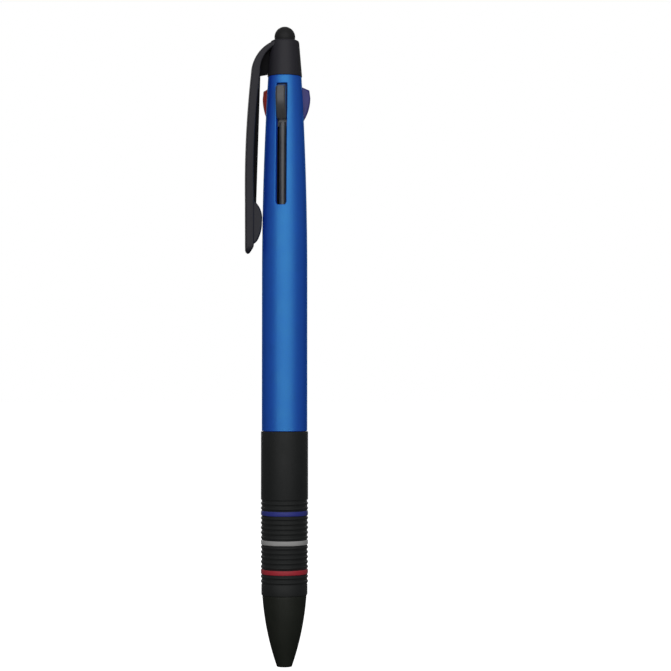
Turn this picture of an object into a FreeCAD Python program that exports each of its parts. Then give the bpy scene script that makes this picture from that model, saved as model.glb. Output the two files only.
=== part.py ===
import FreeCAD, Part
import math
import os

# Three-colour click pen with a pocket clip and a touch tip, in millimetres.
# The origin is on the pen's axis at the nose end, and +Z runs up to the touch tip.
# Angles about the axis are counted from -Y towards +X, so 0 is the side that faces the user.

V = FreeCAD.Vector

# ---- Lengths along the axis, from the nose end up ----
nose_len = 16.1
grip_len = 36.9
barrel_len = 80.5
cap_len = 8.3
touch_height = 3.2

# ---- Barrel ----
barrel_r = 5.15
barrel_wall = 0.8
barrel_straight = 35.0          # length of the cylinder below the taper
barrel_taper = 1.35             # how much radius the taper loses by the cap
edge_round = 0.15
seam_gap = 0.05                 # between the barrel's lower end and the grip

# ---- Slots and press tabs ----
slot_angles = {"black": -10.5, "blue": 110.0, "red": -130.0}
slot_w = 2.55
slot_len = 27.6
slot_cover = 1.9                # barrel left above a slot
slot_corner_r = 0.6
slot_side_gap = 0.15            # each side of a tab
tab_top_gap = 0.2
tab_len = 7.9
tab_reach = 6.0                 # farthest point of a tab from the axis
tab_inner_r = 2.2
tab_slope = 0.7                 # fall of the tab's top face, and of its nose
tab_nose_h = 2.5                # from the tab's top down to where its outer face is farthest out
tab_nose_back = 0.25            # how far its nose falls back above that
tab_belly = 0.4                 # how far its long outer face swells
tab_round = 0.6                 # rounding along its outer edges
press_travel = 15.0
point_out = 2.8                 # how far the pressed point stands out of the nose
carriage_w = 3.0
carriage_in_r = 1.3
carriage_out_r = 2.6
carriage_len = 8.0
carriage_gap = 0.6              # to the cap's plug
stem_r = 0.9
stem_len = 23.4
collar_h = 1.5
spigot_r = 0.62
spigot_len = 4.0

# ---- Refills ----
refill_offset = 2.2             # refill axis to pen axis at rest
tube_r = 1.15
tube_bore_r = 0.8
tube_gap = 0.1                  # tube to the slider's collar
ball_r = 0.35
ball_gap = 0.01
ball_stands = 0.25              # how far the ball stands out of its socket
point_lip = 0.07                # wall of the socket at its rim
point_cone = 7.0
point_shank = 4.8
point_plug = 4.0
plug_gap = 0.02
ink_way_r = 0.15

# ---- Return springs and the disc that carries them ----
wire_r = 0.15
spring_gap = 0.15               # spring to tube, and spring to its seat
spring_len = 19.6
spring_turns = 12
seat_depth = 0.6
disc_h = 4.0
disc_gap = 0.02
guide_gap = 0.35                # tube to the disc's hole, which leaves room for its tilt

# ---- Cap, plug and latch core ----
cap_overhang = 0.15
cap_draft = 0.65                # how much radius the cap's side loses
cap_shoulder = 0.6
plug_len = 3.0
cap_plug_r_gap = 0.05
tab_plug_gap = 0.15
touch_r = 2.37
touch_neck_r = 1.5
touch_neck_len = 3.0
touch_hollow_r = 0.9
core_post_r = 0.75
core_tenon_r = 1.2
core_fin_t = 0.4
core_fin_gap = 0.25             # fins to the barrel's wall
core_len = 32.5
fit_gap = 0.02

# ---- Front: nose, core and thread ----
nose_end_r = 1.7
nose_bulge = 0.55
nose_hole_r = 1.25
nose_hole_len = 1.6
nose_throat = 0.1               # the cone inside starts this much wider than the hole
nose_step = 0.2                 # nose to the sleeve's lower band
thread_gap = 0.08
thread_len = 9.0
thread_relief = 1.0             # plain neck below the thread
bore_gap = 0.25                 # refills to the front's bore

# ---- Grip sleeve, ribs and rings ----
grip_proud = 0.18               # grip over the barrel
sleeve_wall = 1.0
sleeve_gap = 0.05
band_drop = 0.12                # lower band under the ribs' crests
rib_count = 17
rib_pitch = 1.097
rib_first = 3.1                 # first crest above the sleeve's lower end
rib_half = 0.36
rib_depth = 0.2
ring_h = 1.05
ring_depth = 0.6
ring_bulge = 0.04
ring_places = {2: "red", 8: "silver", 14: "blue"}

# ---- Clip: levels are counted down from the cap's top ----
clip_angle = -85.0
clip_w_top = 4.4
clip_w_end = 3.6
clip_web_w = 1.2
clip_pad_w = 3.0
clip_gap_cap = 0.05
clip_pad_gap = 0.2              # pad to the barrel beside it
clip_out_r = 9.05               # outer face of the arm at its widest
clip_t = 1.95
clip_drop = 48.7                # to the clip's end
clip_wide_drop = 36.0           # to where the arm is widest
clip_arch_r = 7.7               # outer face where the arch becomes the arm
clip_arch_drop = 7.6
clip_root_r = 2.0               # where the strap starts on the cap's top
clip_root_t = 1.2
clip_arch_bulge = 1.52
clip_arm_bulge = 0.43
clip_arch_hollow = 1.12
clip_arm_hollow = 0.56
clip_lip = 0.05                 # the strap's end turns in by this
clip_toe = 0.65                 # outer face to the lowest point of its end
clip_end_h = 1.8                # height of its rounded end
clip_web_over = 1.05            # arch of the web under the strap's outer face
clip_web_bulge = 0.82
clip_neck_w = 0.35              # web's inner edge beside the cap, outside the barrel
clip_arm_gap = 1.25             # arm's inner edge to the barrel, just above the pad
clip_pad_up = 7.2               # clip end to the middle of its pad
clip_pad_rise = 4.3             # how far the pad's slope runs up from its middle
clip_pad_fall = 4.6             # and down
clip_pad_bulge = 0.5
clip_pad_crown = 0.35

# ---- Levels and radii that follow ----
grip_top = nose_len + grip_len
barrel_low = grip_top + seam_gap
cap_low = grip_top + barrel_len
cap_top = cap_low + cap_len
barrel_bore_r = barrel_r - barrel_wall
barrel_top_r = barrel_r - barrel_taper
taper_low = grip_top + barrel_straight
slot_top = cap_low - slot_cover
slot_low = slot_top - slot_len
tab_top = slot_top - tab_top_gap
tab_low = tab_top - tab_len
plug_r = barrel_top_r - barrel_wall - cap_plug_r_gap
plug_low = cap_low - plug_len
carriage_top = plug_low - carriage_gap
carriage_low = carriage_top - carriage_len
collar_top = carriage_low - stem_len
collar_low = collar_top - collar_h
spring_in_r = tube_r + spring_gap
spring_r = spring_in_r + wire_r
spring_out_r = spring_r + wire_r
seat_z = collar_low - spring_len
disc_top = seat_z + seat_depth
tip_rest = press_travel - point_out
ball_z = tip_rest + ball_r
rim_z = tip_rest + ball_stands
rim_r = ball_r + point_lip
cone_top = rim_z + point_cone
tube_low = cone_top + point_shank
tube_top = collar_low - tube_gap
front_bore_r = refill_offset + tube_r + bore_gap
grip_r = barrel_r + grip_proud
core_r = grip_r - sleeve_wall
band_r = grip_r - band_drop
nose_base_r = band_r - nose_step
thread_r = barrel_bore_r - thread_gap


def outline(start, *steps):
    """Closed wire in the XZ plane: a step is an end point, or a middle point and an end point."""
    edges = []
    here = V(start[0], 0, start[1])
    for step in steps + (start,):
        if isinstance(step[0], tuple):
            middle = V(step[0][0], 0, step[0][1])
            there = V(step[1][0], 0, step[1][1])
            edges.append(Part.Arc(here, middle, there).toShape())
        else:
            there = V(step[0], 0, step[1])
            if there.distanceToPoint(here) < 1e-7:
                continue
            edges.append(Part.LineSegment(here, there).toShape())
        here = there
    return Part.Wire(edges)


def turned(start, *steps):
    """Solid turned about the pen's axis from a half section."""
    return Part.Face(outline(start, *steps)).revolve(V(0, 0, 0), V(0, 0, 1), 360)


def plate(width, start, *steps):
    """Solid of a width across the XZ plane, centred on it."""
    face = Part.Face(outline(start, *steps))
    face.translate(V(0, -width / 2, 0))
    return face.extrude(V(0, width, 0))


def rod(radius, low, high, x=0.0):
    """Upright cylinder between two levels."""
    return Part.makeCylinder(radius, high - low, V(x, 0, low))


def block(x0, x1, width, low, high):
    """Upright block, centred on the XZ plane."""
    return Part.makeBox(x1 - x0, width, high - low, V(x0, -width / 2, low))


def at_angle(shape, angle):
    """Turns a piece that was drawn along +X to its place about the axis."""
    placed = shape.copy()
    placed.rotate(V(0, 0, 0), V(0, 0, 1), angle - 90)
    return placed


def save(shape, node):
    """Writes one sub-part."""
    shape.exportStep("parts/" + node + ".step")


def bulge_middle(a, b, bulge):
    """Middle point of an arc from a to b that stands out by the bulge, to the right of a-to-b."""
    dx = b[0] - a[0]
    dz = b[1] - a[1]
    length = math.hypot(dx, dz)
    return ((a[0] + b[0]) / 2 + bulge * dz / length, (a[1] + b[1]) / 2 - bulge * dx / length)


def taper_radius(level):
    """Outside radius of the barrel's tapered stretch, which leaves the cylinder tangentially."""
    share = max(0.0, (level - taper_low) / (cap_low - taper_low))
    return barrel_r - barrel_taper * share * share


def barrel():
    middle = (taper_low + cap_low) / 2
    shell = turned(
        (barrel_bore_r, barrel_low),
        (barrel_r - edge_round, barrel_low),
        (barrel_r, barrel_low + edge_round),
        (barrel_r, taper_low),
        ((taper_radius(middle), middle), (barrel_top_r, cap_low)),
        (barrel_top_r - barrel_wall, cap_low),
        ((taper_radius(middle) - barrel_wall, middle), (barrel_bore_r, taper_low)),
    )
    for angle in slot_angles.values():
        shell = shell.cut(at_angle(slot_cutter(), angle))
    return shell


def slot_cutter():
    """Slot with a square top and rounded lower corners, cut from the middle outwards."""
    half = slot_w / 2
    r = slot_corner_r
    k = r * (1 - math.sqrt(0.5))
    face = Part.Face(outline(
        (-half, slot_top),
        (-half, slot_low + r),
        ((-half + k, slot_low + k), (-half + r, slot_low)),
        (half - r, slot_low),
        ((half - k, slot_low + k), (half, slot_low + r)),
        (half, slot_top),
    ))
    cutter = face.extrude(V(0, 2 * barrel_r, 0))
    cutter.rotate(V(0, 0, 0), V(0, 0, 1), -90)
    return cutter


def slider():
    """Press tab, its carriage behind the slot, and the stem that pushes the refill."""
    tab_w = slot_w - 2 * slot_side_gap
    heel = (taper_radius(tab_low), tab_low)
    brow = (tab_reach, tab_top - tab_nose_h)
    above_plug_r = plug_r + tab_plug_gap
    tab = plate(
        tab_w,
        (tab_inner_r, tab_low),
        heel,
        (bulge_middle(heel, brow, tab_belly), brow),
        (tab_reach - tab_nose_back, tab_top - tab_slope),
        (above_plug_r + tab_slope, tab_top),
        (above_plug_r, tab_top),
        (above_plug_r, carriage_top),
        (tab_inner_r, carriage_top),
    )
    tab = round_tab(tab, tab_w)
    carriage = block(carriage_in_r, carriage_out_r, carriage_w, carriage_low, carriage_top)
    stem = rod(stem_r, collar_top, carriage_low + stem_r, refill_offset)
    collar = rod(spring_out_r - wire_r / 2, collar_low, collar_top, refill_offset)
    spigot = rod(spigot_r, collar_low - spigot_len, collar_low, refill_offset)
    return tab.multiFuse([carriage, stem, collar, spigot]).removeSplitter()


def round_tab(tab, tab_w):
    """Rounds the long edges of a tab's outer face and of its nose, within the tab's width."""
    wanted = []
    for edge in tab.Edges:
        middle = edge.CenterOfMass
        along_side = abs(abs(middle.y) - tab_w / 2) < 1e-6
        if along_side and middle.x > taper_radius(tab_low) and middle.z > tab_low:
            wanted.append(edge)
    return tab.makeFillet(min(tab_round, tab_w / 3), wanted)


def ink_tube():
    tube = rod(tube_r, tube_low, tube_top, refill_offset)
    return tube.cut(rod(tube_bore_r, tube_low, tube_top, refill_offset))


def point():
    """Writing point: cone, shank and plug, with the ball's socket and the ink's way to it."""
    body = turned(
        (0, rim_z),
        (rim_r, rim_z),
        (tube_r, cone_top),
        (tube_r, tube_low),
        (tube_bore_r - plug_gap, tube_low),
        (tube_bore_r - plug_gap, tube_low + point_plug),
        (0, tube_low + point_plug),
    )
    body = body.cut(Part.makeSphere(ball_r + ball_gap, V(0, 0, ball_z)))
    body = body.cut(rod(ink_way_r, ball_z, tube_low + point_plug))
    body.translate(V(refill_offset, 0, 0))
    return body


def ball():
    return Part.makeSphere(ball_r, V(refill_offset, 0, ball_z))


def spring():
    """Open coil around the tube, between the disc's seat and the slider's collar."""
    height = spring_len - 2 * wire_r
    helix = Part.makeHelix(height / spring_turns, height, spring_r)
    section = Part.Wire(Part.makeCircle(wire_r, V(spring_r, 0, 0), V(0, 1, 0)))
    coil = Part.Wire(helix).makePipeShell([section], True, True)
    coil.translate(V(refill_offset, 0, seat_z + wire_r))
    return coil


def guide_disc():
    """Disc pressed into the barrel: a seat for each spring and a hole for each tube."""
    disc = rod(barrel_bore_r - disc_gap, disc_top - disc_h, disc_top)
    for angle in slot_angles.values():
        hole = rod(tube_r + guide_gap, disc_top - disc_h, disc_top, refill_offset)
        seat = rod(spring_out_r + spring_gap, seat_z, disc_top, refill_offset)
        disc = disc.cut(at_angle(hole.fuse(seat), angle))
    return disc


def cap():
    """Cone with a plug for the barrel, a socket for the touch tip and one for the core's tenon."""
    side_r = barrel_top_r + cap_overhang
    top_r = side_r - cap_draft
    k = cap_shoulder * (1 - math.sqrt(0.5))
    return turned(
        (core_tenon_r + fit_gap, plug_low),
        (plug_r, plug_low),
        (plug_r, cap_low),
        (side_r, cap_low),
        (top_r, cap_top - cap_shoulder),
        ((top_r - k, cap_top - k), (top_r - cap_shoulder, cap_top)),
        (touch_neck_r + fit_gap, cap_top),
        (touch_neck_r + fit_gap, cap_top - touch_neck_len),
        (0, cap_top - touch_neck_len),
        (0, cap_low + fit_gap),
        (core_tenon_r + fit_gap, cap_low + fit_gap),
    )


def touch_tip():
    """Soft dome with a hollow neck that is pressed into the cap."""
    centre = cap_top + touch_height - touch_r
    foot = cap_top + fit_gap
    foot_r = math.sqrt(touch_r ** 2 - (centre - foot) ** 2)
    return turned(
        (touch_hollow_r, cap_top - touch_neck_len + fit_gap),
        (touch_neck_r, cap_top - touch_neck_len + fit_gap),
        (touch_neck_r, foot),
        (foot_r, foot),
        ((touch_r, centre), (0, centre + touch_r)),
        (0, centre + touch_r - 2 * (touch_r - touch_neck_r)),
        (touch_hollow_r, centre),
    )


def latch_core():
    """Post under the cap whose three fins keep the sliders apart."""
    fin_r = taper_radius(plug_low) - barrel_wall - core_fin_gap
    low = cap_low - core_len
    core = rod(core_post_r, low, plug_low).fuse(rod(core_tenon_r, plug_low - carriage_gap / 2, cap_low))
    for angle in slot_angles.values():
        fin = block(0, fin_r, core_fin_t, low + 2, plug_low - fit_gap)
        core = core.fuse(at_angle(fin, angle + 60))
    return core.removeSplitter()


def front_barrel():
    """Nose cone, core and thread in one moulding, hollow from the thread to the nose hole."""
    outer = bulge_middle((nose_end_r, 0), (nose_base_r, nose_len), nose_bulge)
    inner_low = (nose_hole_r + nose_throat, nose_hole_len)
    inner_high = (front_bore_r, nose_len)
    inner = bulge_middle(inner_low, inner_high, nose_bulge)
    end = grip_top + thread_len
    return turned(
        (nose_hole_r, 0),
        (nose_end_r - edge_round, 0),
        (nose_end_r, edge_round),
        (outer, (nose_base_r, nose_len)),
        (core_r, nose_len),
        (core_r, grip_top),
        (thread_r - edge_round, grip_top),
        (thread_r - edge_round, grip_top + thread_relief),
        (thread_r, grip_top + thread_relief),
        (thread_r, end - edge_round),
        (thread_r - edge_round, end),
        (front_bore_r, end),
        inner_high,
        (inner, inner_low),
        (nose_hole_r, nose_hole_len),
    )


def rib_level(index):
    return nose_len + rib_first + index * rib_pitch


def grip_sleeve():
    """Rubber sleeve: plain bands at both ends, ribs between them, and a groove for each ring."""
    valley_r = grip_r - rib_depth
    groove_r = grip_r - ring_depth
    inner_r = core_r + sleeve_gap
    low = nose_len + sleeve_gap
    top = grip_top - sleeve_gap
    steps = [(band_r - edge_round, low), (band_r, low + edge_round)]
    steps.append((band_r, rib_level(0) - rib_pitch + rib_half))
    steps.append((valley_r, rib_level(0) - rib_pitch + rib_half + edge_round))
    for index in range(rib_count):
        level = rib_level(index)
        if index in ring_places:
            steps.append((valley_r, level - ring_h / 2))
            steps.append((groove_r, level - ring_h / 2))
            steps.append((groove_r, level + ring_h / 2))
            steps.append((valley_r, level + ring_h / 2))
        else:
            steps.append((valley_r, level - rib_half))
            steps.append(((grip_r, level), (valley_r, level + rib_half)))
    plain = rib_level(rib_count) - rib_half
    steps.append((valley_r, plain))
    steps.append((grip_r, plain + edge_round))
    steps.append((grip_r, top - edge_round))
    steps.append((grip_r - edge_round, top))
    steps.append((inner_r, top))
    return turned((inner_r, low), *steps)


def grip_ring(index):
    low = rib_level(index) - ring_h / 2
    high = rib_level(index) + ring_h / 2
    inner_r = grip_r - ring_depth + fit_gap
    return turned(
        (inner_r, low + fit_gap),
        (grip_r - ring_bulge, low + fit_gap),
        ((grip_r, rib_level(index)), (grip_r - ring_bulge, high - fit_gap)),
        (inner_r, high - fit_gap),
    )


def swell(a, b, bulge):
    """Step of an outline: the arc from a to b with that bulge."""
    return bulge_middle(a, b, bulge), b


def clip():
    """Pocket clip of T section: a flat strap outside, with a thin web inside that is deep at the cap
    and shallow along the arm, and a broad pad that presses on the barrel."""
    end = cap_top - clip_drop
    arch_low = cap_top - clip_arch_drop
    wide_at = cap_top - clip_wide_drop
    strap_in_r = clip_out_r - clip_t
    root_out = (clip_root_r, cap_top)
    root_in = (clip_root_r, cap_top - clip_root_t)
    arch_out = (clip_arch_r, arch_low)
    arch_in = (clip_arch_r - clip_t, arch_low)
    arm_out = (clip_out_r, wide_at)
    arm_in = (strap_in_r, wide_at)
    lip = (clip_out_r - clip_lip, end + clip_end_h)
    toe = (clip_out_r - clip_toe, end)
    strap = plate(
        2 * clip_w_top,
        root_out,
        swell(root_out, arch_out, -clip_arch_bulge),
        swell(arch_out, arm_out, -clip_arm_bulge),
        lip,
        swell(lip, toe, -clip_t / 8),
        swell(toe, (strap_in_r, end + clip_end_h), -clip_t / 20),
        arm_in,
        swell(arm_in, arch_in, clip_arm_hollow),
        swell(arch_in, root_in, clip_arch_hollow),
    )
    strap = strap.common(strap_plan(end))
    rib_out_r = strap_in_r + clip_t / 4
    web = clip_web(end + clip_pad_up, root_in, arch_low, (rib_out_r, wide_at))
    pad = clip_pad(end + clip_pad_up, rib_out_r)
    return strap.multiFuse([web, pad]).cut(cap_envelope()).removeSplitter()


def clip_web(pad, root_in, arch_low, arm):
    """Web inside the strap, from a deep neck at the cap down to the pad."""
    arch = (clip_arch_r - clip_web_over, arch_low)
    pad_r = taper_radius(pad) + clip_pad_gap
    neck_r = pad_r + clip_neck_w
    neck = cap_low + edge_round
    return plate(
        clip_web_w,
        root_in,
        swell(root_in, arch, -clip_web_bulge),
        swell(arch, arm, -clip_arm_bulge / 2),
        (arm[0], pad),
        (pad_r + clip_arm_gap, pad),
        (pad_r + clip_arm_gap, pad + clip_pad_rise),
        (neck_r, neck),
        (barrel_top_r, neck + clip_neck_w),
        (root_in[0], neck + clip_neck_w),
    )


def clip_pad(pad, out_r):
    """Block under the strap's end whose crown presses on the barrel."""
    pad_r = taper_radius(pad) + clip_pad_gap
    middle = (pad_r, pad)
    lower = (pad_r + clip_arm_gap, pad - clip_pad_fall)
    upper = (pad_r + clip_arm_gap, pad + clip_pad_rise)
    return plate(
        clip_pad_w,
        (out_r, pad - clip_pad_fall - clip_t / 4),
        lower,
        swell(lower, middle, -clip_pad_crown),
        swell(middle, upper, -clip_pad_bulge),
        (out_r, pad + clip_pad_rise + clip_t / 2),
    )


def strap_plan(end):
    """Front view of the strap: it narrows to a rounded end."""
    top_half = clip_w_top / 2
    end_half = clip_w_end / 2
    face = Part.Face(outline(
        (-top_half, cap_top + 1),
        (-end_half, end + end_half),
        ((0, end), (end_half, end + end_half)),
        (top_half, cap_top + 1),
    ))
    prism = face.extrude(V(0, 2 * clip_out_r, 0))
    prism.rotate(V(0, 0, 0), V(0, 0, 1), -90)
    return prism


def cap_envelope():
    """The cap's outside with the gap that the clip keeps from it."""
    side_r = barrel_top_r + cap_overhang + clip_gap_cap
    top_r = side_r - cap_draft
    k = cap_shoulder * (1 - math.sqrt(0.5))
    return turned(
        (0, cap_low - 1),
        (side_r, cap_low - 1),
        (side_r, cap_low),
        (top_r, cap_top - cap_shoulder),
        ((top_r - k, cap_top - k + clip_gap_cap), (top_r - cap_shoulder, cap_top + clip_gap_cap)),
        (0, cap_top + clip_gap_cap),
    )


os.makedirs("parts", exist_ok=True)

save(barrel(), "barrel")
save(cap(), "cap")
save(touch_tip(), "touch_tip")
save(latch_core(), "latch_core")
save(guide_disc(), "guide_disc")
save(front_barrel(), "front_barrel")
save(grip_sleeve(), "grip_sleeve")
for place, colour in ring_places.items():
    save(grip_ring(place), colour + "_ring")
save(at_angle(clip(), clip_angle), "clip")
for colour, angle in slot_angles.items():
    save(at_angle(slider(), angle), colour + "_slider")
    save(at_angle(ink_tube(), angle), colour + "_ink_tube")
    save(at_angle(point(), angle), colour + "_point")
    save(at_angle(ball(), angle), colour + "_ball")
    save(at_angle(spring(), angle), colour + "_spring")
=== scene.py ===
import bmesh
import bpy
import math
from mathutils import Matrix, Vector

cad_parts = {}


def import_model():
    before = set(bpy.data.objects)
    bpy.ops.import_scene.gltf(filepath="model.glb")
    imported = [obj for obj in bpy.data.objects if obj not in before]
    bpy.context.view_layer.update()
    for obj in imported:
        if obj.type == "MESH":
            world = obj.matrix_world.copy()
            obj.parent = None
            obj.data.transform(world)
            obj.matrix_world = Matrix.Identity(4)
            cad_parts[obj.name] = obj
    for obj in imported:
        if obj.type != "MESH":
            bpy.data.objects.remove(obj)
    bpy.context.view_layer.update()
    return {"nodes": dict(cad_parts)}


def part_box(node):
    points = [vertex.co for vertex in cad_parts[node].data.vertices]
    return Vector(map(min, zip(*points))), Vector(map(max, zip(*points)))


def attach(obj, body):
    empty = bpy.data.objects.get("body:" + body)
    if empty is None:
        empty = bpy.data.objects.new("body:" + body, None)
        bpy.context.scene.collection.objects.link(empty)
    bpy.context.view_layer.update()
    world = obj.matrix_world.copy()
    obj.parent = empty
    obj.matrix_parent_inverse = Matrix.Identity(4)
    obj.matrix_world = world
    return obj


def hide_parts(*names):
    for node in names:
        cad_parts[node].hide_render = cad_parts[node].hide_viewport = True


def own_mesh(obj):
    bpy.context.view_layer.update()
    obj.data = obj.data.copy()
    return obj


# Three-colour click pen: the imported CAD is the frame, and this script gives it its looks.
# Lengths are in millimetres and angles in degrees until a mesh is made. The pen stands on its
# point on the Z axis, and angles round it count from -Y, its front, towards +X.
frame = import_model()
MM = 0.001


def low(node):
    """Lowest corner of a CAD node, in millimetres."""
    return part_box(node)[0] / MM


def high(node):
    """Highest corner of a CAD node, in millimetres."""
    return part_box(node)[1] / MM


# ---- Places that come from the frame ----
barrel_r = high("barrel").x
barrel_low = low("barrel").z
cap_low = high("barrel").z
cap_top = high("cap").z
cap_r = high("cap").x
plug_low = low("cap").z
touch_top = high("touch_tip").z
touch_r = high("touch_tip").x
touch_low = low("touch_tip").z
nose_low = low("front_barrel").z
spigot_top = high("front_barrel").z
sleeve_low = low("grip_sleeve").z
sleeve_top = high("grip_sleeve").z
grip_r = high("grip_sleeve").x
tab_top = high("black_slider").z
clip_end = low("clip").z

# ---- Sizes that the boxes don't give ----
# Where the CAD has the size too, the value is the same, but for up to 0.2 mm on the clip's rib and pad.

# Barrel and its slots
slot_angles = {"black": -10.5, "blue": 110.0, "red": -130.0}
slot_w = 2.55
slot_top = tab_top + 0.2
slot_low = slot_top - 27.6
slot_corner_r = 0.6
barrel_wall = 0.8
barrel_top_r = cap_r - 0.15
taper_low = barrel_low + 34.95

# Cap and touch tip
cap_draft = 0.65
cap_shoulder = 0.6
cap_shoulder_bulge = 0.18
plug_r = barrel_top_r - barrel_wall - 0.05
tenon_r = 1.22
neck_r = 1.5
neck_hole_r = 0.9
touch_hollow_top = touch_top - 1.74
touch_hollow_side = touch_top - 1.95
touch_hollow_r = neck_hole_r * 0.7

# Front, thread and grip
nose_end_r = 1.7
nose_bulge = 0.55
nose_hole_r = 1.25
nose_hole_len = 1.6
band_r = grip_r - 0.12
nose_base_r = band_r - 0.2
core_r = grip_r - 1.0
front_bore_r = 3.6
nose_bore_r = nose_hole_r + 0.1
thread_r = barrel_r - barrel_wall - 0.08
thread_depth = 0.22
thread_pitch = 1.5
thread_start = sleeve_top + 1.0
thread_end = spigot_top - 0.9
rib_count = 17
rib_pitch = 1.097
rib_first = 3.05
rib_half = 0.36
rib_depth = 0.2
rib_step = 0.15
ring_h = 1.05
ring_depth = 0.6
ring_places = {2: "red", 8: "silver", 14: "blue"}

# Springs and buttons
spring_mean_r = 1.45
wire_r = 0.15
refill_offset = 2.2

# Clip: the arch and the arm are arcs that stand out, or are hollow, by these bulges
clip_angle = -85.0
clip_top = cap_top
clip_w_top = 4.4
clip_w_end = 3.6
clip_out_r = 9.05
clip_t = 1.95
clip_wide_at = clip_top - 36.0
clip_root_r = 2.0
clip_root_t = 1.2
clip_arch_r = 7.7
clip_arch_low = clip_top - 7.6
clip_arch_bulge = 1.52
clip_arch_hollow = 1.12
clip_arm_bulge = 0.43
clip_arm_hollow = 0.56
clip_tip_bulge = 0.08
clip_edge = 0.32
clip_crown = 0.12
clip_cap_gap = 0.05
clip_rib_w = 1.0
clip_rib_over = 1.05
clip_rib_bulge = 0.82
clip_rib_arm_bulge = 0.21
clip_neck_w = 0.35
clip_neck_up = 0.15
clip_pad_w = 3.0
clip_pad_at = clip_end + 7.2
clip_pad_gap = 0.2
clip_arm_gap = 1.25
clip_pad_rise = 4.3
clip_pad_fall = 4.6
clip_pad_crown = 0.35
clip_pad_bulge = 0.5
clip_pad_foot = 0.5
clip_pad_head = 0.9

# ---- Limits and fineness of the meshes ----
# Lengths below TINY count as none, and points nearer than WELD are joined; CAD_WELD is in metres.
TINY = 1e-6
WELD = 1e-5
CAD_WELD = 1e-6
# FIT is the gap round a piece that is pressed into another, and SEAM the gap where two pieces meet.
FIT = 0.02
SEAM = 0.05
SMALL_ROUND = 0.12
SEGMENTS = 128
SEGMENTS_FINE = 160
SEGMENTS_SMALL = 96
CLIP_SHARP = 35


# ---- Mesh helpers ----
def arc(a, b, bulge, count):
    """Points from a to b, both included, on an arc that stands out by the bulge.

    It stands out to the right of the way from a to b, or to the left if the bulge is negative.
    """
    chord = math.hypot(b[0] - a[0], b[1] - a[1])
    radius = (chord * chord / 4 + bulge * bulge) / (2 * abs(bulge))
    half = math.asin(min(1.0, chord / 2 / radius))
    right = ((b[1] - a[1]) / chord, -(b[0] - a[0]) / chord)
    along = ((b[0] - a[0]) / chord, (b[1] - a[1]) / chord)
    side = math.copysign(1, bulge)
    points = []
    for i in range(count + 1):
        turn = half * (2 * i / count - 1)
        out = side * radius * (math.cos(turn) - math.cos(half))
        reach = radius * math.sin(turn) + chord / 2
        x = a[0] + along[0] * reach + right[0] * out
        y = a[1] + along[1] * reach + right[1] * out
        points.append((x, y))
    return points


def rounded(points, radius, limit=25.0, steps=4):
    """Closed outline with each corner sharper than the limit rounded, but none on the axis."""
    most = 0.45
    result = []
    count = len(points)
    for i, here in enumerate(points):
        corner = Vector(here)
        before = Vector(points[i - 1]) - corner
        after = Vector(points[(i + 1) % count]) - corner
        if min(before.length, after.length) < TINY or here[0] < TINY:
            result.append(here)
            continue
        turn = math.pi - before.angle(after)
        if math.degrees(turn) < limit:
            result.append(here)
            continue
        back = min(radius * math.tan(turn / 2), before.length * most, after.length * most)
        start = corner + before.normalized() * back
        end = corner + after.normalized() * back
        for k in range(steps + 1):
            t = k / steps
            place = start * (1 - t) ** 2 + corner * (2 * t * (1 - t)) + end * t * t
            result.append((place.x, place.y))
    return result


def spot(angle, radius, level):
    """Point at an angle round the pen, counted from its front."""
    turn = math.radians(angle - 90)
    return Vector((radius * math.cos(turn), radius * math.sin(turn), level))


def metre_mesh(name, mesh_data):
    """Blender mesh in metres from a bmesh in millimetres, its seams joined and its faces outwards."""
    bmesh.ops.remove_doubles(mesh_data, verts=mesh_data.verts, dist=WELD)
    bmesh.ops.recalc_face_normals(mesh_data, faces=mesh_data.faces)
    bmesh.ops.scale(mesh_data, vec=(MM, MM, MM), verts=mesh_data.verts)
    mesh = bpy.data.meshes.new(name)
    mesh_data.to_mesh(mesh)
    mesh_data.free()
    return mesh


def add_object(name, data):
    """New object in the scene."""
    made = bpy.data.objects.new(name, data)
    bpy.context.scene.collection.objects.link(made)
    return made


def finish_mesh(name, mesh_data, body, slot, nodes, sharp=40.0):
    """Piece that stands for CAD nodes and rides on their body, smooth up to the sharp angle."""
    mesh = metre_mesh(name, mesh_data)
    for face in mesh.polygons:
        face.use_smooth = True
    mesh.set_sharp_from_angle(angle=math.radians(sharp))
    piece = add_object(name, mesh)
    mesh.materials.append(finishes[slot])
    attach(piece, body)
    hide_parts(*nodes)
    return piece


def turn_into(mesh_data, outline, segments):
    """Adds the surface that a closed half section sweeps about the pen's axis."""
    rings = []
    for i in range(segments):
        turn = 2 * math.pi * i / segments
        ring = [mesh_data.verts.new((r * math.cos(turn), r * math.sin(turn), z)) for r, z in outline]
        rings.append(ring)
    count = len(outline)
    for i in range(segments):
        here = rings[i]
        there = rings[(i + 1) % segments]
        for k in range(count):
            n = (k + 1) % count
            if outline[k][0] < TINY and outline[n][0] < TINY:
                continue
            mesh_data.faces.new((here[k], there[k], there[n], here[n]))


def turned(name, outline, body, slot, nodes, segments=SEGMENTS):
    """Piece turned about the pen's axis."""
    mesh_data = bmesh.new()
    turn_into(mesh_data, outline, segments)
    finish_mesh(name, mesh_data, body, slot, nodes)


def skin(mesh_data, rings):
    """Adds the faces between rings of the same size, one after the other, and closes both ends."""
    size = len(rings[0])
    for here, there in zip(rings, rings[1:]):
        for k in range(size):
            n = (k + 1) % size
            mesh_data.faces.new((here[k], here[n], there[n], there[k]))
    mesh_data.faces.new(rings[0][::-1])
    mesh_data.faces.new(rings[-1])


def soften(piece, width, limit):
    """Rounds a piece's edges sharper than the limit with a bevel, and smooths its shading."""
    edge = piece.modifiers.new("edge", "BEVEL")
    edge.width = width * MM
    edge.segments = 3
    edge.limit_method = "ANGLE"
    edge.angle_limit = math.radians(limit)
    edge.harden_normals = False
    shading = piece.modifiers.new("shading", "WEIGHTED_NORMAL")
    shading.keep_sharp = True


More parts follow.
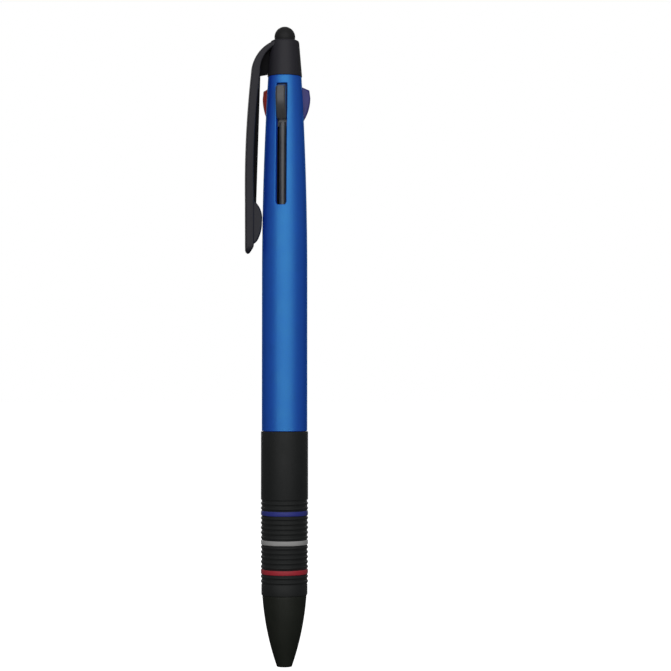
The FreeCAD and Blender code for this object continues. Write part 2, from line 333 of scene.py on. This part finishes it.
# ---- Materials ----
SOCKETS = {
    "coat": "Coat Weight",
    "coat_rough": "Coat Roughness",
    "specular": "Specular IOR Level",
    "tint": "Specular Tint",
    "ior": "IOR",
    "sheen": "Sheen Weight",
    "subsurface": "Subsurface Weight",
}
# Noise scales are in cells per metre, and the grain's height is in metres.
DRIFT_SCALE = 260.0
DRIFT_DETAIL = 5.0
DRIFT_LOW = 0.3
DRIFT_HIGH = 0.7
ROUGH_DRIFT = 0.12
GRAIN_DETAIL = 3.0
GRAIN_HEIGHT = 0.00005
FLAKE_SCALE = 9000.0
FLAKE_DRIFT = 0.07


def noise(tree, place, scale, detail):
    """Noise over a piece's own coordinates."""
    made = tree.nodes.new("ShaderNodeTexNoise")
    made.inputs["Scale"].default_value = scale
    made.inputs["Detail"].default_value = detail
    tree.links.new(place.outputs["Object"], made.inputs["Vector"])
    return made


def material(name, colour, rough, grain=3000.0, bump=0.15, shade=0.12, metallic=0.0, **sockets):
    """Procedural finish: slow drift of colour and roughness, and a fine moulded grain as bump."""
    made = bpy.data.materials.new(name)
    made.use_nodes = True
    tree = made.node_tree
    shader = tree.nodes["Principled BSDF"]
    shader.inputs["Metallic"].default_value = metallic
    for socket, value in sockets.items():
        shader.inputs[SOCKETS[socket]].default_value = value
    place = tree.nodes.new("ShaderNodeTexCoord")
    drift = noise(tree, place, DRIFT_SCALE, DRIFT_DETAIL)
    ramp = tree.nodes.new("ShaderNodeValToRGB")
    dark, light = ramp.color_ramp.elements
    dark.position = DRIFT_LOW
    light.position = DRIFT_HIGH
    dark.color = [c * (1 - shade) for c in colour] + [1]
    light.color = [c * (1 + shade) for c in colour] + [1]
    tree.links.new(drift.outputs["Fac"], ramp.inputs["Fac"])
    tree.links.new(ramp.outputs["Color"], shader.inputs["Base Color"])
    matt = tree.nodes.new("ShaderNodeMapRange")
    matt.inputs["To Min"].default_value = rough * (1 - ROUGH_DRIFT)
    matt.inputs["To Max"].default_value = rough * (1 + ROUGH_DRIFT)
    tree.links.new(drift.outputs["Fac"], matt.inputs["Value"])
    tree.links.new(matt.outputs["Result"], shader.inputs["Roughness"])
    fine = noise(tree, place, grain, GRAIN_DETAIL)
    relief = tree.nodes.new("ShaderNodeBump")
    relief.inputs["Strength"].default_value = bump
    relief.inputs["Distance"].default_value = GRAIN_HEIGHT
    tree.links.new(fine.outputs["Fac"], relief.inputs["Height"])
    tree.links.new(relief.outputs["Normal"], shader.inputs["Normal"])
    return made


def metallic_paint():
    """Blue metallic lacquer: flakes that differ a little in brightness, under a satin coat."""
    made = material("blue_metallic", (0.006, 0.026, 0.84), 0.54, grain=2500, bump=0.04, shade=0.04,
                    ior=2.9, specular=1.0, tint=(0.11, 0.58, 0.84, 1.0), coat=0.1, coat_rough=0.45)
    tree = made.node_tree
    shader = tree.nodes["Principled BSDF"]
    place = tree.nodes["Texture Coordinate"]
    ramp = tree.nodes["Color Ramp"]
    flakes = tree.nodes.new("ShaderNodeTexVoronoi")
    flakes.inputs["Scale"].default_value = FLAKE_SCALE
    tree.links.new(place.outputs["Object"], flakes.inputs["Vector"])
    sparkle = tree.nodes.new("ShaderNodeMapRange")
    sparkle.inputs["To Min"].default_value = 1 - FLAKE_DRIFT
    sparkle.inputs["To Max"].default_value = 1 + FLAKE_DRIFT
    tree.links.new(flakes.outputs["Color"], sparkle.inputs["Value"])
    mix = tree.nodes.new("ShaderNodeVectorMath")
    mix.operation = "SCALE"
    tree.links.new(ramp.outputs["Color"], mix.inputs[0])
    tree.links.new(sparkle.outputs["Result"], mix.inputs["Scale"])
    tree.links.new(mix.outputs["Vector"], shader.inputs["Base Color"])
    return made


finishes = {
    "blue_metallic": metallic_paint(),
    "black_satin": material("black_satin", (0.030, 0.0285, 0.038), 0.58, grain=2600, bump=0.25,
                            coat=0.1, coat_rough=0.4, specular=0.4),
    # Darker, duller copy of the clip's black plastic for its rib: painted shade for the recess between the
    # strap and the cap.
    "clip_rib_painted_shade": material("clip_rib_painted_shade", (0.005, 0.005, 0.006), 0.7, grain=2600, bump=0.25,
                            specular=0.15),
    "black_moulded": material("black_moulded", (0.021, 0.024, 0.018), 0.5, grain=2600, bump=0.25,
                              specular=0.4),
    "touch_rubber": material("touch_rubber", (0.012, 0.012, 0.013), 0.62, grain=4500, bump=0.35,
                             sheen=0.1),
    "grip_rubber": material("grip_rubber", (0.010, 0.012, 0.012), 0.62, grain=4200, bump=0.45,
                            sheen=0.1),
    "ring_blue": material("ring_blue", (0.036, 0.05, 0.37), 0.5, bump=0.1, shade=0.06, sheen=0.1),
    "ring_silver": material("ring_silver", (0.54, 0.54, 0.53), 0.5, bump=0.1, shade=0.06, sheen=0.5),
    "ring_red": material("ring_red", (0.60, 0.028, 0.05), 0.5, bump=0.1, shade=0.06, sheen=0.1),
    "tab_black": material("tab_black", (0.10, 0.10, 0.10), 0.34, coat=0.5, coat_rough=0.22),
    "tab_blue": material("tab_blue", (0.075, 0.07, 0.33), 0.36, coat=0.2, coat_rough=0.25),
    "tab_red": material("tab_red", (0.95, 0.07, 0.045), 0.36, coat=0.2, coat_rough=0.25),
    "tube_black": material("tube_black", (0.01, 0.01, 0.012), 0.3, bump=0.05, subsurface=0.05),
    "tube_blue": material("tube_blue", (0.01, 0.015, 0.12), 0.3, bump=0.05, subsurface=0.05),
    "tube_red": material("tube_red", (0.20, 0.008, 0.008), 0.3, bump=0.05, subsurface=0.05),
    "point_metal": material("point_metal", (0.60, 0.58, 0.52), 0.24, grain=1500, bump=0.03,
                            metallic=1.0),
    "ball_metal": material("ball_metal", (0.45, 0.45, 0.47), 0.12, bump=0.0, metallic=1.0),
    "spring_steel": material("spring_steel", (0.50, 0.50, 0.51), 0.25, bump=0.05, metallic=1.0),
    "inner_plastic": material("inner_plastic", (0.012, 0.012, 0.013), 0.5, bump=0.1),
}


# ---- Barrel ----
def barrel_radius(level):
    """Outside radius: a cylinder, then a taper that leaves it tangentially."""
    share = max(0.0, (level - taper_low) / (cap_low - taper_low))
    return barrel_r - (barrel_r - barrel_top_r) * share * share


def slot_end(x):
    """Level of the slot's lower edge at a sideways offset from its middle."""
    over = abs(x) - (slot_w / 2 - slot_corner_r)
    if over <= 0:
        return slot_low
    return slot_low + slot_corner_r - math.sqrt(max(0.0, slot_corner_r ** 2 - over ** 2))


def barrel_columns():
    """Columns round the barrel as (slot angle, sideways offset, next slot's angle, share).

    Across a slot a column keeps its offset, and the last two are None. In the gap to the next
    slot it is that share of the way there, and the offset is None.
    """
    gap_steps = 30
    corner_shares = (0.3, 0.7)
    half = slot_w / 2
    corner = half - slot_corner_r
    right = [corner / 3, corner] + [corner + slot_corner_r * share for share in corner_shares] + [half]
    across = [-x for x in reversed(right)] + right
    order = sorted(slot_angles.values())
    columns = []
    for i, angle in enumerate(order):
        following = order[i + 1] if i + 1 < len(order) else order[0] + 360
        for x in across:
            columns.append((angle, x, None, None))
        for k in range(1, gap_steps):
            columns.append((angle, None, following, k / gap_steps))
    return columns


def in_slot(column):
    """Whether a column passes through a slot or along its edge."""
    return column[1] is not None


def column_angle(column, level):
    """Angle of a column at a level, so that the slots keep parallel sides as the barrel tapers."""
    angle, offset, following, share = column
    radius = barrel_radius(level)
    if in_slot(column):
        return angle + math.degrees(math.asin(offset / radius))
    edge = math.degrees(math.asin(slot_w / 2 / radius))
    start = angle + edge
    end = following - edge
    return start + (end - start) * share


def even_levels(start, end, step):
    """Levels from start, included, to end, left out, about a step apart."""
    count = max(1, round((end - start) / step))
    return [start + (end - start) * k / count for k in range(count)]


def barrel():
    """Shell with three slots: a grid whose lines follow the slots' edges, thickened inwards."""
    # The grid's lines bend with a slot's rounded end from this far below it.
    near = 1.6
    levels = even_levels(barrel_low, taper_low, step=2.5)
    levels += even_levels(taper_low, slot_low - near, step=1.2)
    levels += even_levels(slot_low - near, slot_low, step=near / 4)
    levels += even_levels(slot_low, slot_top, step=1.15)
    levels += even_levels(slot_top, cap_low, step=0.6) + [cap_low]
    columns = barrel_columns()
    mesh_data = bmesh.new()
    rows = []
    for level in levels:
        row = []
        for column in columns:
            here = level
            if in_slot(column) and slot_low - near < level <= slot_low + TINY:
                fade = 1 - (slot_low - level) / near
                here += (slot_end(column[1]) - slot_low) * fade
            place = spot(column_angle(column, here), barrel_radius(here), here)
            row.append(mesh_data.verts.new(place))
        rows.append(row)
    count = len(columns)
    for r in range(len(rows) - 1):
        middle = (levels[r] + levels[r + 1]) / 2
        for c in range(count):
            n = (c + 1) % count
            if in_slot(columns[c]) and in_slot(columns[n]) and slot_low < middle < slot_top:
                continue
            mesh_data.faces.new((rows[r][c], rows[r][n], rows[r + 1][n], rows[r + 1][c]))
    piece = finish_mesh("barrel_shell", mesh_data, "barrel_assembly", "blue_metallic", ["barrel"])
    wall = piece.modifiers.new("wall", "SOLIDIFY")
    wall.thickness = barrel_wall * MM
    wall.offset = -1
    wall.use_even_offset = True
    soften(piece, width=0.1, limit=50)


# ---- Cap, touch tip and front ----
def cap_side(gap):
    """Half section of the cap's cone and shoulder, from its foot up, a gap outside its surface."""
    top_r = cap_r + gap - cap_draft
    shoulder = (top_r, cap_top - cap_shoulder)
    edge = (top_r - cap_shoulder, cap_top + gap)
    return [(cap_r + gap, cap_low)] + arc(shoulder, edge, cap_shoulder_bulge, count=8)


def cap():
    """Cone with a socket in its top for the touch tip's neck, and a plug with a hole below."""
    socket_r = neck_r + FIT
    outline = [(tenon_r, plug_low), (plug_r, plug_low), (plug_r, cap_low)] + cap_side(0.0)
    outline += [
        (socket_r, cap_top),
        (socket_r, touch_low - FIT),
        (0, touch_low - FIT),
        (0, cap_low + FIT),
        (tenon_r, cap_low + FIT),
    ]
    turned("cap_shell", rounded(outline, SMALL_ROUND), "barrel_assembly", "black_satin", ["cap"])


def touch_tip():
    """Rubber dome with a hollow inside, on a neck that goes into the cap."""
    steps = 24
    centre = touch_top - touch_r
    foot = cap_top + FIT
    foot_turn = math.asin((foot - centre) / touch_r)
    outline = [(neck_hole_r, touch_low), (neck_r, touch_low), (neck_r, foot)]
    for k in range(steps):
        turn = foot_turn + (math.pi / 2 - foot_turn) * k / steps
        outline.append((touch_r * math.cos(turn), centre + touch_r * math.sin(turn)))
    outline += [
        (0, touch_top),
        (0, touch_hollow_top),
        (touch_hollow_r, touch_hollow_side),
        (neck_hole_r, centre),
    ]
    outline = rounded(outline, SMALL_ROUND, limit=40)
    turned("touch_dome", outline, "barrel_assembly", "touch_rubber", ["touch_tip"], SEGMENTS_SMALL)


def thread_into(mesh_data, root_r):
    """Adds the raised thread on the spigot, a ridge that rises and fades over its end turns."""
    ridge_foot = 0.42
    ridge_half = 0.38
    crest_half = 0.12
    buried = 0.1
    crest_share = 0.95
    fade_turns = 0.25
    steps_per_turn = 64
    turns = (thread_end - thread_start) / thread_pitch
    steps = int(turns * steps_per_turn)
    rings = []
    for i in range(steps + 1):
        share = i / steps
        outward = spot(360 * turns * share, 1, 0)
        level = thread_start + thread_pitch * turns * share
        fade = min(1.0, share * turns / fade_turns, (1 - share) * turns / fade_turns)
        crest = root_r + thread_depth * crest_share * fade
        section = [
            (root_r - buried, -ridge_foot),
            (root_r, -ridge_half),
            (crest, -crest_half),
            (crest, crest_half),
            (root_r, ridge_half),
            (root_r - buried, ridge_foot),
        ]
        rings.append([mesh_data.verts.new(outward * r + Vector((0, 0, level + up))) for r, up in section])
    skin(mesh_data, rings)


def front_barrel():
    """Nose cone, core and spigot in one moulding, with a raised thread on the spigot."""
    root_r = thread_r - thread_depth
    nose_top = sleeve_low - SEAM
    hole_top = nose_low + nose_hole_len
    # The cone starts a hair off the corner, which keeps the rim crisp.
    hair = 0.001
    nose_start = (nose_end_r + hair, nose_low + hair)
    outline = [(nose_hole_r, nose_low), (nose_end_r, nose_low)]
    outline += arc(nose_start, (nose_base_r, nose_top), nose_bulge, count=28)
    outline += [
        (core_r, nose_top),
        (core_r, sleeve_top + SEAM),
        (root_r, sleeve_top + SEAM),
        (root_r, spigot_top),
        (front_bore_r, spigot_top),
    ]
    outline += arc((front_bore_r, nose_top), (nose_bore_r, hole_top), -nose_bulge, count=16)
    outline.append((nose_hole_r, hole_top))
    mesh_data = bmesh.new()
    turn_into(mesh_data, rounded(outline, radius=0.15, limit=30), SEGMENTS)
    thread_into(mesh_data, root_r)
    finish_mesh("nose_and_thread", mesh_data, "front_section", "black_moulded", ["front_barrel"])


# ---- Grip ----
def rib_level(index):
    """Level of a rib's middle."""
    return sleeve_low + rib_first + index * rib_pitch


def grip_sleeve():
    """Rubber sleeve: plain bands at both ends, ribs between them, and a groove for each ring."""
    valley_r = grip_r - rib_depth
    groove_r = grip_r - ring_depth
    inner_r = core_r + SEAM
    first = rib_level(0) - rib_pitch + rib_half
    outline = [(inner_r, sleeve_low), (band_r, sleeve_low), (band_r, first), (valley_r, first + rib_step)]
    for index in range(rib_count):
        level = rib_level(index)
        if index in ring_places:
            bottom = level - ring_h / 2
            top = level + ring_h / 2
            outline += [(valley_r, bottom), (groove_r, bottom), (groove_r, top), (valley_r, top)]
        else:
            bottom = level - rib_half
            top = level + rib_half
            outline += arc((valley_r, bottom), (valley_r, top), rib_depth, count=8)
    plain = rib_level(rib_count) - rib_half
    outline += [(valley_r, plain), (grip_r, plain + rib_step), (grip_r, sleeve_top), (inner_r, sleeve_top)]
    outline = rounded(outline, SMALL_ROUND, limit=30, steps=3)
    turned("grip_rubber_sleeve", outline, "grip_cover", "grip_rubber", ["grip_sleeve"], SEGMENTS_FINE)


def grip_ring(colour):
    """Coloured band in its groove, crowned up to the ribs' height."""
    crown = 0.04
    node = colour + "_ring"
    bottom = low(node).z
    top = high(node).z
    inner_r = grip_r - ring_depth + FIT
    outer_r = grip_r - crown
    outline = [(inner_r, bottom)]
    outline += arc((outer_r, bottom), (outer_r, top), crown, count=6)
    outline.append((inner_r, top))
    outline = rounded(outline, radius=0.1, limit=40, steps=3)
    turned(node + "_band", outline, "grip_cover", "ring_" + colour, [node], SEGMENTS_FINE)


# ---- Springs ----
def spring(colour):
    """Return spring with closed end turns, built at its CAD node's length; in the pen it shortens as its
    button is pressed.
    """
    closed = 1.5
    open_turns = 11.0
    steps_per_turn = 20
    sides = 8
    slack = 1.05
    turns = open_turns + 2 * closed
    steps = int(turns * steps_per_turn)
    node = colour + "_spring"
    bottom = low(node).z + wire_r
    top = high(node).z - wire_r
    centre = spot(slot_angles[colour], refill_offset, 0)
    close_pitch = 2 * wire_r * slack
    open_pitch = (top - bottom - 2 * closed * close_pitch) / open_turns
    section = []
    for k in range(sides):
        turn = 2 * math.pi * k / sides
        section.append((wire_r * math.cos(turn), wire_r * math.sin(turn)))
    mesh_data = bmesh.new()
    rings = []
    for i in range(steps + 1):
        t = turns * i / steps
        level = min(t, closed) * close_pitch
        level += min(max(t - closed, 0), open_turns) * open_pitch
        level += max(t - closed - open_turns, 0) * close_pitch
        outward = spot(360 * t, 1, 0)
        middle = centre + outward * spring_mean_r + Vector((0, 0, bottom + level))
        ring = [mesh_data.verts.new(middle + outward * out + Vector((0, 0, up))) for out, up in section]
        rings.append(ring)
    skin(mesh_data, rings)
    name = colour + "_return_spring"
    piece = finish_mesh(name, mesh_data, "barrel_assembly", "spring_steel", [node])
    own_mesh(piece)


# ---- Clip ----
def spread(line, count):
    """That many points at even distances along a polyline, its ends included."""
    lengths = [math.dist(a, b) for a, b in zip(line, line[1:])]
    total = sum(lengths)
    points = []
    for i in range(count):
        left = total * i / (count - 1)
        k = 0
        while k < len(lengths) - 1 and left > lengths[k]:
            left -= lengths[k]
            k += 1
        share = min(1.0, left / lengths[k])
        a, b = line[k], line[k + 1]
        points.append((a[0] + (b[0] - a[0]) * share, a[1] + (b[1] - a[1]) * share))
    return points


def strap_section(half, depth):
    """Rounded section of the strap as (across, inwards) points, with a slightly crowned outer face."""
    corner_steps = 4
    crown_steps = 8
    # The rounding and the crown take at most these shares where the strap is small.
    of_half = 0.45
    of_depth = 0.4
    crown_of_depth = 0.1
    edge = min(clip_edge, half * of_half, depth * of_depth)
    crown = min(clip_crown, depth * crown_of_depth)
    # Each corner: its place, the way to its rounding's centre, and the angle where that starts.
    corners = [
        (-half, depth, 1, -1, 90),
        (-half, crown, 1, 1, 180),
        (half, crown, -1, 1, 270),
        (half, depth, -1, -1, 0),
    ]
    points = []
    for across, deep, side, inward, start in corners:
        centre = (across + side * edge, deep + inward * edge)
        for k in range(corner_steps + 1):
            turn = math.radians(start + 90 * k / corner_steps)
            points.append((centre[0] + edge * math.cos(turn), centre[1] + edge * math.sin(turn)))
        if start == 180:
            for k in range(1, crown_steps):
                x = (half - edge) * (2 * k / crown_steps - 1)
                points.append((x, crown * (x / (half - edge)) ** 2))
    return points


def strap_sides():
    """The strap's outer and inner lines as (radius, level) points, from its root to its tip."""
    inner_r = clip_out_r - clip_t
    root = (clip_root_r, clip_top)
    bend = (clip_arch_r, clip_arch_low)
    wide = (clip_out_r, clip_wide_at)
    inner_root = (clip_root_r, clip_top - clip_root_t)
    inner_bend = (clip_arch_r - clip_t, clip_arch_low)
    inner_wide = (inner_r, clip_wide_at)
    # The rounded tip, as distances in from each line and up from the end.
    outer_tip = ((0.03, 1.2), (0.05, 0.7), (0.5, 0.06))
    inner_tip = ((0.0, 1.9), (0.06, 1.5), (0.75, 0.35), (0.95, 0.12))
    tip = [(clip_out_r - back, clip_end + up) for back, up in outer_tip]
    outer = arc(root, bend, -clip_arch_bulge, count=24)
    outer += arc(bend, wide, -clip_arm_bulge, count=24)[1:]
    outer += tip[:1] + arc(tip[1], tip[2], -clip_tip_bulge, count=5)
    inner = arc(inner_bend, inner_root, clip_arch_hollow, count=24)[::-1]
    inner += arc(inner_wide, inner_bend, clip_arm_hollow, count=24)[::-1][1:]
    inner += [(inner_r + back, clip_end + up) for back, up in inner_tip]
    return outer, inner


def clip_strap():
    """Outer strap: a rounded section lofted from the cap's top, over the arch and down the arm."""
    ring_count = 110
    # The very end keeps this share of the width, and the rest is rounded like a half circle.
    blunt = 0.25
    tip = clip_w_end / 2
    outer, inner = strap_sides()
    mesh_data = bmesh.new()
    rings = []
    for a, b in zip(spread(outer, ring_count), spread(inner, ring_count)):
        share = (clip_top - a[1]) / (clip_top - clip_end)
        half = (clip_w_top + (clip_w_end - clip_w_top) * share) / 2
        left = a[1] - clip_end
        if left < tip:
            half *= math.sqrt(max(0.0, 1 - (1 - left / tip) ** 2)) * (1 - blunt) + blunt
        depth = math.dist(a, b)
        inward = ((b[0] - a[0]) / depth, (b[1] - a[1]) / depth)
        ring = []
        for across, deep in strap_section(half, depth):
            place = (a[0] + inward[0] * deep, across, a[1] + inward[1] * deep)
            ring.append(mesh_data.verts.new(place))
        rings.append(ring)
    skin(mesh_data, rings)
    cut_clear_of_cap(clip_piece("clip_strap", mesh_data, "black_satin"))


def plate(outline, width):
    """Closed upright plate of a width, with that outline in (radius, level)."""
    mesh_data = bmesh.new()
    sides = []
    for across in (-width / 2, width / 2):
        sides.append([mesh_data.verts.new((r, across, z)) for r, z in outline])
    skin(mesh_data, sides)
    return mesh_data


def clip_piece(name, mesh_data, slot):
    """Turns a piece of the clip, made along +X, to the clip's angle and mounts it."""
    turn = Matrix.Rotation(math.radians(clip_angle - 90), 4, "Z")
    bmesh.ops.transform(mesh_data, matrix=turn, verts=mesh_data.verts)
    return finish_mesh(name, mesh_data, "pocket_clip", slot, ["clip"], sharp=CLIP_SHARP)


def cap_mould():
    """Solid of the cap's outer shape, a small gap larger all round, with a skirt below it."""
    skirt_h = 3
    side_r = cap_r + clip_cap_gap
    skirt = cap_low - skirt_h
    outline = [(0, skirt), (side_r, skirt)] + cap_side(clip_cap_gap) + [(0, cap_top + clip_cap_gap)]
    mould = bmesh.new()
    turn_into(mould, outline, SEGMENTS)
    return add_object("cap_mould", metre_mesh("cap_mould", mould))


def cut_clear_of_cap(piece):
    """Cuts a piece of the clip clear of the cap, so that they don't run into each other."""
    tool = cap_mould()
    carve = piece.modifiers.new("carve", "BOOLEAN")
    carve.operation = "DIFFERENCE"
    carve.object = tool
    carve.solver = "EXACT"
    bpy.context.view_layer.update()
    carved_piece = piece.evaluated_get(bpy.context.evaluated_depsgraph_get())
    carved = bpy.data.meshes.new_from_object(carved_piece)
    piece.modifiers.remove(carve)
    piece.data = carved
    bpy.data.objects.remove(tool)
    carved.set_sharp_from_angle(angle=math.radians(CLIP_SHARP))


def clip_rib():
    """Thin rib inside the strap: deep beside the cap, shallow along the arm."""
    rib_out_r = clip_out_r - clip_t * 3 / 4
    pad_r = barrel_radius(clip_pad_at) + clip_pad_gap
    arm_in = pad_r + clip_arm_gap
    neck = cap_low + clip_neck_up
    web_low = neck + clip_neck_w
    root = (clip_root_r, clip_top - clip_root_t)
    bend = (clip_arch_r - clip_rib_over, clip_arch_low)
    outline = arc(root, bend, -clip_rib_bulge, count=16)
    outline += arc(bend, (rib_out_r, clip_wide_at), -clip_rib_arm_bulge, count=16)[1:]
    outline += [
        (rib_out_r, clip_pad_at),
        (arm_in, clip_pad_at),
        (arm_in, clip_pad_at + clip_pad_rise),
        (pad_r + clip_neck_w, neck),
        (barrel_top_r, web_low),
        (clip_root_r, web_low),
    ]
    # The rib takes the darker copy of the clip's plastic, painted shade for its recess.
    piece = clip_piece("clip_rib", plate(outline, clip_rib_w), "clip_rib_painted_shade")
    cut_clear_of_cap(piece)
    soften(piece, SMALL_ROUND, limit=50)


def clip_pad():
    """Broad block under the strap's end whose crown presses on the barrel."""
    out_r = clip_out_r - clip_t * 3 / 4
    pad_r = barrel_radius(clip_pad_at) + clip_pad_gap
    foot = clip_pad_at - clip_pad_fall
    head = clip_pad_at + clip_pad_rise
    middle = (pad_r, clip_pad_at)
    lower = (pad_r + clip_arm_gap, foot)
    upper = (pad_r + clip_arm_gap, head)
    outline = [(out_r, foot - clip_pad_foot)]
    outline += arc(lower, middle, -clip_pad_crown, count=10)
    outline += arc(middle, upper, -clip_pad_bulge, count=12)[1:]
    outline.append((out_r, head + clip_pad_head))
    piece = clip_piece("clip_pad", plate(outline, clip_pad_w), "black_satin")
    soften(piece, width=0.4, limit=35)


# ---- CAD nodes that stay ----
def keep_cad(node, slot, width=0.0):
    """Gives a CAD node its finish and, if asked, rounded edges."""
    piece = frame["nodes"][node]
    if len(piece.material_slots) == 0:
        piece.data.materials.append(finishes[slot])
    for place in piece.material_slots:
        place.material = finishes[slot]
    if width:
        weld = piece.modifiers.new("weld", "WELD")
        weld.merge_threshold = CAD_WELD
        soften(piece, width, limit=32)


barrel()
cap()
touch_tip()
front_barrel()
grip_sleeve()
for ring_colour in ring_places.values():
    grip_ring(ring_colour)
for tab_colour in slot_angles:
    spring(tab_colour)
    keep_cad(tab_colour + "_slider", "tab_" + tab_colour, width=SMALL_ROUND)
    keep_cad(tab_colour + "_ink_tube", "tube_" + tab_colour)
    keep_cad(tab_colour + "_point", "point_metal")
    keep_cad(tab_colour + "_ball", "ball_metal")
clip_strap()
clip_rib()
clip_pad()
keep_cad("guide_disc", "inner_plastic")
keep_cad("latch_core", "inner_plastic")


# ---- Studio, in metres ----
# Name, place, size and radiance of each light; all point at the pen's middle.
LIGHTS = [
    ("front_light", (0, -0.62, 0.24), (1.1, 0.62), 1.2),
    ("back_light", (0, 0.62, 0.24), (0.7, 0.6), 1.15),
    ("left_light", (-0.6, 0.0, 0.2), (0.4, 0.5), 0.1),
    ("right_light", (0.6, 0.0, 0.2), (0.4, 0.5), 0.12),
    ("top_light", (0, 0, 0.8), (0.5, 0.5), 0.3),
]
PEN_MIDDLE = (0, 0, 0.0725)
ROOM_BAND = 0.5
ROOM_LOW = 0.02
ROOM_HIGH = 0.11
FLOOR_R = 8
FLOOR_LEVEL = -0.03
FLOOR_GREY = 0.3
FLOOR_GLOW = 0.985
WHITE = (1, 1, 1, 1)
CAMERA_PLACE = (0, -0.402, 0.064)
CAMERA_LENS = 95.1
CAMERA_PITCH_UP = 1.52
CAMERA_YAW_RIGHT = 1.645


def area_light(name, place, size, radiance):
    """Soft rectangular light that the camera doesn't see."""
    lamp = bpy.data.lights.new(name, "AREA")
    lamp.shape = "RECTANGLE"
    lamp.size = size[0]
    lamp.size_y = size[1]
    lamp.energy = radiance * math.pi * size[0] * size[1]
    holder = add_object(name, lamp)
    holder.location = place
    aim = Vector(PEN_MIDDLE) - Vector(place)
    holder.rotation_euler = aim.to_track_quat("-Z", "Y").to_euler()
    holder.visible_camera = False


def world():
    """Dim room, darker below, for the reflections, and plain white behind the pen for the camera."""
    made = bpy.data.worlds.new("studio")
    made.use_nodes = True
    tree = made.node_tree
    room = tree.nodes["Background"]
    room.inputs["Strength"].default_value = 1.0
    place = tree.nodes.new("ShaderNodeTexCoord")
    split = tree.nodes.new("ShaderNodeSeparateXYZ")
    ramp = tree.nodes.new("ShaderNodeMapRange")
    ramp.inputs["From Min"].default_value = -ROOM_BAND
    ramp.inputs["From Max"].default_value = ROOM_BAND
    ramp.inputs["To Min"].default_value = ROOM_LOW
    ramp.inputs["To Max"].default_value = ROOM_HIGH
    tree.links.new(place.outputs["Generated"], split.inputs["Vector"])
    tree.links.new(split.outputs["Z"], ramp.inputs["Value"])
    tree.links.new(ramp.outputs["Result"], room.inputs["Color"])
    seen = tree.nodes.new("ShaderNodeBackground")
    seen.inputs["Color"].default_value = WHITE
    seen.inputs["Strength"].default_value = 1.0
    path = tree.nodes.new("ShaderNodeLightPath")
    mix = tree.nodes.new("ShaderNodeMixShader")
    tree.links.new(path.outputs["Is Camera Ray"], mix.inputs[0])
    tree.links.new(room.outputs["Background"], mix.inputs[1])
    tree.links.new(seen.outputs["Background"], mix.inputs[2])
    tree.links.new(mix.outputs["Shader"], tree.nodes["World Output"].inputs["Surface"])
    bpy.context.scene.world = made


def floor():
    """Plain pale disc that glows to white, low enough that the pen stays above it at every pose."""
    mesh_data = bmesh.new()
    bmesh.ops.create_circle(mesh_data, cap_ends=True, segments=96, radius=FLOOR_R)
    mesh = bpy.data.meshes.new("floor")
    mesh_data.to_mesh(mesh)
    mesh_data.free()
    disc = add_object("floor", mesh)
    disc.location = (0, 0, FLOOR_LEVEL)
    paint = material("floor_paint", (FLOOR_GREY,) * 3, 0.8, grain=40, bump=0.0, shade=0.01)
    shader = paint.node_tree.nodes["Principled BSDF"]
    shader.inputs["Emission Color"].default_value = WHITE
    shader.inputs["Emission Strength"].default_value = FLOOR_GLOW
    mesh.materials.append(paint)
    disc.visible_diffuse = False
    disc.visible_glossy = False


def camera():
    """Camera in front of the pen, a little below its middle, turned slightly up and to the right."""
    eye = bpy.data.cameras.new("camera")
    eye.lens = CAMERA_LENS
    eye.sensor_width = 36.0
    eye.clip_end = 20.0
    holder = add_object("camera", eye)
    holder.location = CAMERA_PLACE
    pitch = Matrix.Rotation(math.radians(90 + CAMERA_PITCH_UP), 4, "X")
    yaw = Matrix.Rotation(math.radians(-CAMERA_YAW_RIGHT), 4, "Z")
    holder.rotation_euler = (yaw @ pitch).to_euler()
    bpy.context.scene.camera = holder


for light in LIGHTS:
    area_light(*light)
world()
floor()
camera()
bpy.context.scene.view_settings.view_transform = "Standard"
